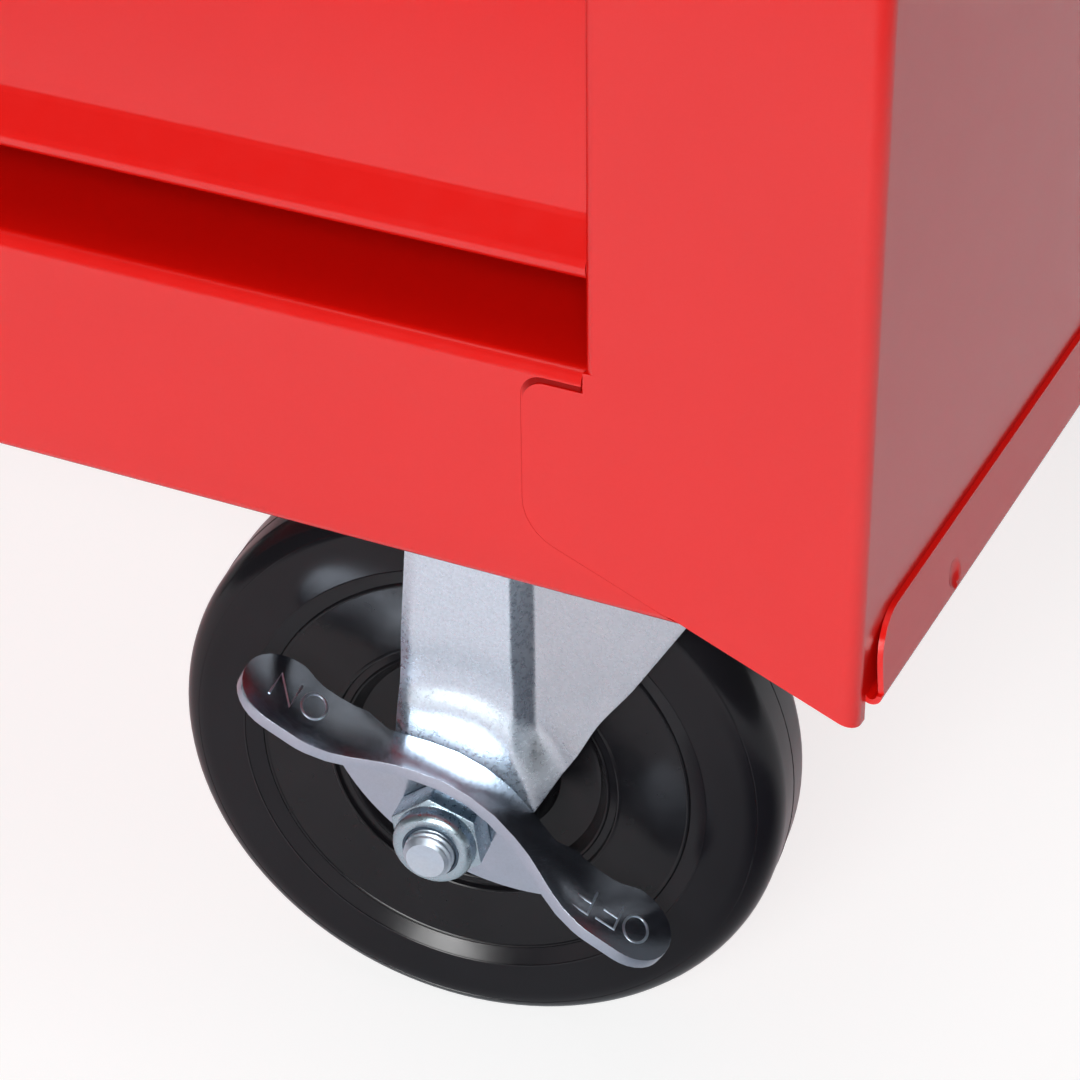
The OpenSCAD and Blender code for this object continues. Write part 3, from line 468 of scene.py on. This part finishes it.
# Brake levers: ON and OFF stamped in the paddles as fine raised strokes
LETTERS = {
    "O": [[(0.5 + 0.46 * math.cos(t), 0.5 + 0.5 * math.sin(t)) for t in (math.pi * k / 12 for k in range(24))]],
    "N": [[(0.08, 0), (0.08, 1), (0.92, 0), (0.92, 1)]],
    "F": [[(0.1, 0), (0.1, 1), (0.85, 1)], [(0.1, 0.52), (0.7, 0.52)]],
}
LETTER_W, LETTER_H, STROKE, STROKE_SINK = 5.6, 7.0, 0.30, 0.06
# Each letter with its middle along the lever and out from the wheel
STAMPS = (("O", -33.9, 28.4), ("N", -40.3, 28.9), ("F", 29.7, 31.2), ("F", 35.6, 30.6), ("O", 41.8, 30.5))
lever_turn = Matrix.Rotation(math.radians(LEVER_TILT), 4, "Y")
for s in SIDES:
    place = CASTERS["front", s] @ lever_turn
    up = (place.to_3x3() @ Vector((0, 0, 1))).normalized()
    verts, faces = [], []
    for letter, x, q in STAMPS:
        for stroke in LETTERS[letter]:
            line = [place @ Vector((x - (u - 0.5) * LETTER_W, -q - (v - 0.5) * LETTER_H, PADDLE_Z))
                    for u, v in stroke]
            append(verts, faces, bead(line, STROKE * MM, up, STROKE_SINK * MM, letter == "O"))
    add_mesh(f"lever_stamping_{s}", verts, faces, ROUGH_ZINC, f"brake_{s}")


# Axle bolts: hex head, plain shank and the thread that shows past the nut; nylon insert in the nut
BOLT_STEPS, THREAD_STEP, THREAD_L, PITCH, THREAD_DEPTH = 96, 0.12, 6.0, 1.5, 0.6
END_CHAMFER, THREAD_RUNOUT = 1.15, 0.5


def ease(t):
    """Smooth step from 0 to 1."""
    t = max(0.0, min(1.0, t))
    return t * t * (3 - 2 * t)


def bolt(place):
    """Closed mesh of the bolt along the local Y axis, with its threaded end at -BOLT_END."""
    rows, steps = [], BOLT_STEPS
    count = int(THREAD_L / THREAD_STEP)
    for i in range(count + 1):
        y = -BOLT_END + THREAD_L * i / count
        chamfer = AXLE_R - END_CHAMFER + (y + BOLT_END)
        rows.append((y, lambda a, y=y, c=chamfer: min(
            c, AXLE_R - THREAD_DEPTH * ease(1.3 * abs((y / PITCH + a / (2 * math.pi)) % 1 * 2 - 1) - 0.15))))
    across = NUT_AF / 2

    def hexagon(a):
        return across / math.cos((a + math.pi / 6) % (math.pi / 3) - math.pi / 6)

    head_end = BOSS_OUT + HEAD_H
    rows.append((-BOLT_END + THREAD_L + THREAD_RUNOUT, lambda a: AXLE_R))
    rows.append((BOSS_OUT, lambda a: AXLE_R))
    rows.append((BOSS_OUT, hexagon))
    # The head's corners are cut back in two steps
    rows.append((head_end - 1.0, hexagon))
    rows.append((head_end - 0.55, lambda a: min(hexagon(a), across + 0.75)))
    rows.append((head_end, lambda a: min(hexagon(a), across - 0.15)))
    verts, faces = [], []
    for y, radius in rows:
        for k in range(steps):
            a = 2 * math.pi * k / steps
            verts.append(place @ Vector((radius(a) * math.cos(a), y, radius(a) * math.sin(a))))
    for i in range(len(rows) - 1):
        for k in range(steps):
            m = (k + 1) % steps
            faces.append((i * steps + k, i * steps + m, (i + 1) * steps + m, (i + 1) * steps + k))
    faces.append(tuple(range(steps)))
    faces.append(tuple(range((len(rows) - 1) * steps, len(rows) * steps))[::-1])
    return verts, faces


NUT_FACE, INSERT_STEPS = -NUT_Y - NUT_H, 48
INSERT = [(AXLE_R + 0.06, NUT_FACE + 1.2), (AXLE_R + 0.06, NUT_FACE + 0.1), (AXLE_R + 0.3, NUT_FACE - 0.08),
          (AXLE_R + 0.72, NUT_FACE - 0.08), (AXLE_R + 0.8, NUT_FACE + 0.2), (AXLE_R + 0.8, NUT_FACE + 1.2)]
for s in SIDES:
    place = CASTERS["front", s]
    verts, faces = bolt(place)
    o = add_mesh(f"threaded_bolt_{s}", verts, faces, ROUGH_ZINC, f"swivel_{s}")
    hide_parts(f"axle_bolt_{s}")
    verts, faces = lathe(INSERT, place, INSERT_STEPS)
    add_mesh(f"nut_insert_{s}", verts, faces, NYLON, f"swivel_{s}")


# Forks: one bent sheet with a soft raised panel that swells into the axle boss, and the round swivel cup on its
# crown. Places on a leg are x along its width and z up from the axle, or r round the axle. The sheet dips between
# boss and panel, its back edge is rolled in, its front edge is bent in and gives the pressed lever room.
BEND_R = 4.5
PANEL_SHARE, PANEL_EDGE, PANEL_FOOT, PANEL_DIP = 0.86, 12.0, 16.5, 0.20
BOSS_FLAT, BOSS_FOOT, BOSS_NARROW = 20.0, 29.5, 1.22
LEVER_ROOM, LEVER_PASS, LEVER_SPAN = 0.9, 24.0, 10.0
DIP_START, DIP_IN, DIP_END, DIP_OUT = 24, 6, 42, 10
PANEL_TOP, PANEL_FADE = 74, 10
ROLL_DEPTH, ROLL_W, ROLL_START, ROLL_FADE = 1.0, 2.2, -2, 12
BEND_START, BEND_SLOPE, BEND_FADE = 28, 0.035, 6
TIP_STEPS, TIP_ROWS, LEG_ROWS, BEND_ROWS = 30, 8, 74, 6
CUP_STEPS = 72
SHEET_ROUND, SHEET_ANGLE = 0.45, 60


def tangent_points():
    """Where the leg's straight back and front edges meet its round end."""
    points = []
    for x, side in ((LEG_BACK, 1), (LEG_FRONT, -1)):
        a = math.atan2(CROWN_Z, x) + side * math.acos(LEG_R / math.hypot(x, CROWN_Z))
        points.append((LEG_R * math.cos(a), LEG_R * math.sin(a)))
    return points


TANGENTS = tangent_points()


def leg_edges(z):
    """Local x of the leg's back and front edge."""
    edges = []
    for (tx, tz), top_x, side in ((TANGENTS[0], LEG_BACK, -1), (TANGENTS[1], LEG_FRONT, 1)):
        if z < tz:
            edges.append(side * math.sqrt(max(0.0, LEG_R ** 2 - z * z)))
        else:
            edges.append(tx + (top_x - tx) * (z - tz) / (CROWN_Z - tz))
    edges[1] -= LEVER_ROOM * ease(1 - abs(z - LEVER_PASS) / LEVER_SPAN)
    return edges


def leg_columns(z):
    """Local x of each column of the sheet: close together on the panel's sloped wall."""
    x0, x1 = leg_edges(z)
    # The wall's strip starts and ends at these places, or at a share of the width where the leg is narrow
    b1, b2 = min(PANEL_EDGE - 1.2, x0 + 0.62 * (x1 - x0)), min(PANEL_FOOT + 4.0, x0 + 0.85 * (x1 - x0))
    xs = [x0, x0 + min(0.4, 0.02 * (x1 - x0))]
    for a, b, n in ((xs[1], b1, 16), (b1, b2, 26), (b2, x1, 18)):
        xs += [a + (b - a) * i / n for i in range(1, n + 1)]
    return xs


def panel_share(x):
    """1 on the raised panel, 0 past its sloped wall."""
    return ease((PANEL_FOOT - x) / (PANEL_FOOT - PANEL_EDGE))


def leg_rise(x, z):
    """How far the pressed sheet stands out of the flat leg."""
    r = math.hypot(BOSS_NARROW * x, z) if x > 0 else math.hypot(x, z)
    dip = PANEL_DIP * ease((r - DIP_START) / DIP_IN) * ease((DIP_END - r) / DIP_OUT)
    panel = PANEL_SHARE * panel_share(x) * (1 - dip) * ease((PANEL_TOP - z) / PANEL_FADE)
    boss = ease((BOSS_FOOT - r) / (BOSS_FOOT - BOSS_FLAT))
    rolled = ROLL_DEPTH * ease((leg_edges(z)[0] + ROLL_W - x) / ROLL_W) * ease((z - ROLL_START) / ROLL_FADE)
    bent = BEND_SLOPE * max(0.0, x - BEND_START) * ease((x - BEND_START) / BEND_FADE)
    return (BOSS_OUT - LEG_OUT) * (1 - (1 - panel) * (1 - boss)) - rolled - bent


def fork_rows():
    """Rows of the sheet from the outer leg's tip over the crown to the inner leg's tip: outer and inner points."""
    zs = [-LEG_R * math.cos(math.pi * k / TIP_STEPS) for k in range(1, TIP_ROWS + 1)]
    top = CROWN_Z - BEND_R
    zs += [zs[-1] + (top - zs[-1]) * i / LEG_ROWS for i in range(1, LEG_ROWS + 1)]
    rows = []
    for z in zs:
        xs = leg_columns(z)
        outer = [Vector((x, -(LEG_OUT + leg_rise(x, z)), z)) for x in xs]
        rows.append((outer, [p + Vector((0, FORK_T, 0)) for p in outer]))
    xs = leg_columns(top)
    for k in range(1, BEND_ROWS + 1):
        a = math.pi / 2 * k / BEND_ROWS
        z = top + BEND_R * math.sin(a)
        q = LEG_OUT - BEND_R * (1 - math.cos(a))
        inward = Vector((0, math.cos(a), -math.sin(a))) * FORK_T
        outer = [Vector((x, -(q + leg_rise(x, top) * (1 - math.sin(a))), z)) for x in xs]
        rows.append((outer, [p + inward for p in outer]))
    mirrored = [tuple([Vector((p.x, -p.y, p.z)) for p in side] for side in row) for row in reversed(rows)]
    return rows + mirrored


def fork_sheet(place):
    """Closed mesh of the bent sheet and the swivel cup, in metres."""
    rows = fork_rows()
    n, m = len(rows), len(rows[0][0])
    verts = [place @ p for row in rows for side in row for p in side]
    faces = []

    def at(i, side, k):
        return (2 * i + side) * m + k

    for i in range(n - 1):
        for k in range(m - 1):
            faces.append((at(i, 0, k), at(i + 1, 0, k), at(i + 1, 0, k + 1), at(i, 0, k + 1)))
            faces.append((at(i, 1, k), at(i, 1, k + 1), at(i + 1, 1, k + 1), at(i + 1, 1, k)))
        for k in (0, m - 1):
            faces.append((at(i, 0, k), at(i, 1, k), at(i + 1, 1, k), at(i + 1, 0, k)))
    for i in (0, n - 1):
        for k in range(m - 1):
            faces.append((at(i, 0, k), at(i, 0, k + 1), at(i, 1, k + 1), at(i, 1, k)))
    # Section of the cup: hole, floor, upright rim, round shoulder and the joint with the crown
    cup = [(KINGPIN_R, CROWN_Z - 0.6), (KINGPIN_R, CROWN_Z + 0.15), (CUP_R - CUP_T - 1.5, CROWN_Z + 0.15),
           (CUP_R - CUP_T, CROWN_Z + 1.6), (CUP_R - CUP_T, CUP_TOP - 0.3), (CUP_R - CUP_T + 0.3, CUP_TOP),
           (CUP_R - 0.4, CUP_TOP), (CUP_R, CUP_TOP - 0.4), (CUP_R, CROWN_Z + 0.6), (CUP_R - 0.9, CROWN_Z - 1.6),
           (CUP_R - 3.2, CROWN_Z - FORK_T), (CUP_R - 6, CROWN_Z - FORK_T), (CUP_R - 6.6, CROWN_Z - 0.6)]
    swivel = place @ Matrix.Translation((SWIVEL_LEAD, 0, 0)) @ Matrix.Rotation(math.pi / 2, 4, "X")
    append(verts, faces, lathe(cup, swivel, CUP_STEPS))
    return verts, faces


for s in SIDES:
    place = CASTERS["front", s]
    verts, faces = fork_sheet(place)
    o = add_mesh(f"stamped_fork_{s}", verts, faces, FORK_ZINC, f"swivel_{s}")
    # Share of the raised panel, for its brighter tint of drawn finish and painted sheen
    drawn = o.data.attributes.new("drawn", "FLOAT", "POINT")
    back = place.inverted()
    for i, v in enumerate(verts):
        drawn.data[i].value = panel_share((back @ v).x)
    edge = o.modifiers.new("edges", "BEVEL")
    edge.width, edge.segments, edge.limit_method = SHEET_ROUND * MM, 3, "ANGLE"
    edge.angle_limit = math.radians(SHEET_ANGLE)
    o.modifiers.move(len(o.modifiers) - 1, 0)
    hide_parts(f"fork_{s}")


# Paint that bridges the seam between each foot tab and the bottom rail, and lies deeper in the slit over the tab,
# with painted shade darkening it there. Depths are behind the stile's face. The slit is the line's first points, and
# the painted shade fades along the points after them.
PAINT_OVERLAP, PAINT_BACK, SEAM_DEPTH, SLIT_DEPTH = 0.12, 0.55, 0.07, 0.30
SLIT_POINTS, PAINTED_SHADE_END, PAINTED_SHADE_FADE = 5, 12, 7
CORNER_STEPS = 10
STILE_GAP, FOLD_GAP = 0.5, 1.6  # the line starts past the stile's edge and ends above the rail's lower fold


def rounded(points):
    """Corner points (x, z, radius) to a line with round corners; the same corners give the same count of points."""
    line, steps = [], CORNER_STEPS
    for i, (x, z, r) in enumerate(points):
        p = Vector((x, z))
        if not r:
            line.append(p)
            continue
        u = (Vector(points[i - 1][:2]) - p).normalized()
        v = (Vector(points[i + 1][:2]) - p).normalized()
        half = math.acos(u.dot(v)) / 2
        c = p + (u + v).normalized() * r / math.sin(half)
        a, b = p + u * r / math.tan(half) - c, p + v * r / math.tan(half) - c
        turn = a.angle_signed(b)
        for k in range(steps + 1):
            w = -turn * k / steps
            line.append(c + Vector((a.x * math.cos(w) - a.y * math.sin(w), a.x * math.sin(w) + a.y * math.cos(w))))
    return line


def tab_line(grow, over):
    """The foot tab's edge from the slit down to the rail's lower fold; x runs in from the outer side, z up."""
    def edge(x):
        return FOOT_SLOPE * x

    end = (RAIL_RISE + FOLD_GAP + grow) / FOOT_SLOPE
    return rounded([(STILE_W + STILE_GAP, TAB_TOP + over, 0), (TAB_W + grow, TAB_TOP + over, TAB_R),
                    (TAB_W + grow, edge(TAB_W) - grow, TAB_SWEEP_R), (end, edge(end) - grow, 0)])


def seam_paint(side, name):
    """Paint at the right foot (side 1) or the left one (side -1)."""
    outer_x = FOOT.x / MM if side > 0 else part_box("bottom_panel")[0].x / MM - SIDE_SKIN
    inner = tab_line(-PAINT_OVERLAP, -PAINT_OVERLAP)
    outer = tab_line(SEAM + PAINT_OVERLAP, SLIT + PAINT_OVERLAP)
    verts, faces, painted_shading = [], [], []
    for i, (a, b) in enumerate(zip(inner, outer)):
        front = FOOT.y / MM + (SLIT_DEPTH if i < SLIT_POINTS else SEAM_DEPTH)
        back = FOOT.y / MM + PAINT_BACK
        # Painted shade: full in the slit, fading out along the seam after it
        painted_shading += [ease((PAINTED_SHADE_END - i) / PAINTED_SHADE_FADE)] * 4
        for p, y in ((a, front), (b, front), (b, back), (a, back)):
            verts.append(Vector((outer_x - side * p.x, y, FOOT.z / MM + p.y)) * MM)
    n = len(inner)
    for i in range(n - 1):
        for k in range(4):
            faces.append((4 * i + k, 4 * i + (k + 1) % 4, 4 * i + 4 + (k + 1) % 4, 4 * i + 4 + k))
    faces.append((0, 1, 2, 3))
    faces.append(tuple(range(4 * n - 4, 4 * n))[::-1])
    o = add_mesh(name, verts, faces, SEAM_RED_PAINTED_SHADE, "cabinet")
    # Point attribute that puts the painted shade into the seam's red
    painted_shade = o.data.attributes.new("painted_shade", "FLOAT", "POINT")
    for i, value in enumerate(painted_shading):
        painted_shade.data[i].value = value


seam_paint(1, "seam_paint_right")
seam_paint(-1, "seam_paint_left")


# Floor, light and colours. The pale floor that the camera sees and the floor that lights the object are apart,
# so the floor stays pale without washing out the bare metal. The floor that lights it has a painted shadow spot in
# front of the right front caster, which the fork's sloped wall mirrors dark.
FLOOR_STEPS, FLOOR_COLOUR, FLOOR_GLOW = 64, (0.34, 0.34, 0.34), 0.74
FLOOR_R, COVE_R, COVE_TOP = 5, 3, 7.0
BOUNCE_Z, BOUNCE_R, BOUNCE_COLOUR = -0.0005, 0.9, (0.92, 0.96, 1.0)
# Painted shadow spot on the bounce floor: its colour, radius, and place from the right front caster
PAINTED_SHADOW_COLOUR, PAINTED_SHADOW_R, PAINTED_SHADOW_X, PAINTED_SHADOW_Y = (0.10, 0.11, 0.14), 0.14, 0.165, -0.065
WORLD_COLOUR, WORLD_LIGHT = (0.92, 0.96, 1.0, 1), 0.12
# Name, place, target, width and height, watts
LIGHTS = (
    ("key", (0.89, -2.74, 1.47), (0.3, -0.2, 0.2), (1.6, 1.3), 80),
    ("low", (0.19, -3.05, 0.15), (0.24, -0.2, 0.05), (0.55, 0.28), 11),
    ("top", (0.3, -0.2, 3.0), (0.2, -0.1, 0.2), (2.4, 2.4), 26),
    ("back", (-0.6, 3.0, 1.6), (0.0, 0.2, 0.4), (1.6, 1.2), 24))


def floor_part(name, profile, colour, glow, painted_shading=None):
    """A round floor of the profile's (radius, height) points, with a painted shadow spot of a place and a radius."""
    steps, n = FLOOR_STEPS, len(profile)
    verts = [(r * math.cos(2 * math.pi * k / steps), r * math.sin(2 * math.pi * k / steps), z)
             for r, z in profile for k in range(steps)]
    faces = [tuple(range(steps))]
    for i in range(n - 1):
        for k in range(steps):
            m = (k + 1) % steps
            faces.append((i * steps + k, (i + 1) * steps + k, (i + 1) * steps + m, i * steps + m))
    mesh = bpy.data.meshes.new(name)
    mesh.from_pydata(verts, [], faces)
    for p in mesh.polygons:
        p.use_smooth = True
    o = bpy.data.objects.new(name, mesh)
    bpy.context.scene.collection.objects.link(o)
    s = Shader(name, colour, 0.0, 0.9)
    # Painted shadow: a dark round spot in the floor's colour
    if painted_shading:
        place = s.node("ShaderNodeMapping", vector_type="TEXTURE")
        place.inputs["Location"].default_value = painted_shading[0]
        place.inputs["Scale"].default_value = (painted_shading[1], painted_shading[1], 1)
        ball = s.node("ShaderNodeTexGradient", gradient_type="SPHERICAL")
        s.link(s.coords, place.inputs["Vector"])
        s.link(place.outputs["Vector"], ball.inputs["Vector"])
        s.colour(s.ramp(ball.outputs["Fac"], [(0.0, colour), (0.5, PAINTED_SHADOW_COLOUR)]))
    s.bsdf.inputs["Emission Color"].default_value = (1, 1, 1, 1)
    s.bsdf.inputs["Emission Strength"].default_value = glow
    mesh.materials.append(s.mat)
    return o


def stage():
    """Floor, world, lights and colour settings."""
    bend = [(FLOOR_R + COVE_R * math.sin(a), COVE_R - COVE_R * math.cos(a))
            for a in (math.pi / 2 * k / 10 for k in range(1, 11))]
    cove = [(1.0, 0), (FLOOR_R, 0)] + bend + [(FLOOR_R + COVE_R, COVE_TOP)]
    seen = floor_part("floor", cove, FLOOR_COLOUR, FLOOR_GLOW)
    seen.visible_diffuse = seen.visible_glossy = seen.visible_transmission = seen.visible_shadow = False
    caster = Vector(joints["wheel_front_right_spin"]["pos_m"])
    # Place of the painted shadow spot on the bounce floor
    painted_shade = (caster.x + PAINTED_SHADOW_X, caster.y + PAINTED_SHADOW_Y, BOUNCE_Z)
    floor_part("floor_bounce", [(0.5, BOUNCE_Z), (BOUNCE_R, BOUNCE_Z)], BOUNCE_COLOUR, 0.0, (painted_shade, PAINTED_SHADOW_R))
    world = bpy.data.worlds.new("studio")
    world.use_nodes = True
    back = world.node_tree.nodes["Background"]
    back.inputs["Color"].default_value = WORLD_COLOUR
    back.inputs["Strength"].default_value = WORLD_LIGHT
    bpy.context.scene.world = world
    for name, place, target, size, watts in LIGHTS:
        data = bpy.data.lights.new(name, "AREA")
        data.shape = "RECTANGLE"
        data.size, data.size_y = size
        data.energy = watts
        o = bpy.data.objects.new(name, data)
        bpy.context.scene.collection.objects.link(o)
        o.location = place
        o.rotation_euler = (Vector(target) - Vector(place)).to_track_quat("-Z", "Y").to_euler()
    scene = bpy.context.scene
    scene.view_settings.view_transform = "Standard"
    scene.view_settings.look = "None"
    scene.view_settings.exposure = 0
    scene.view_settings.gamma = 1


stage()
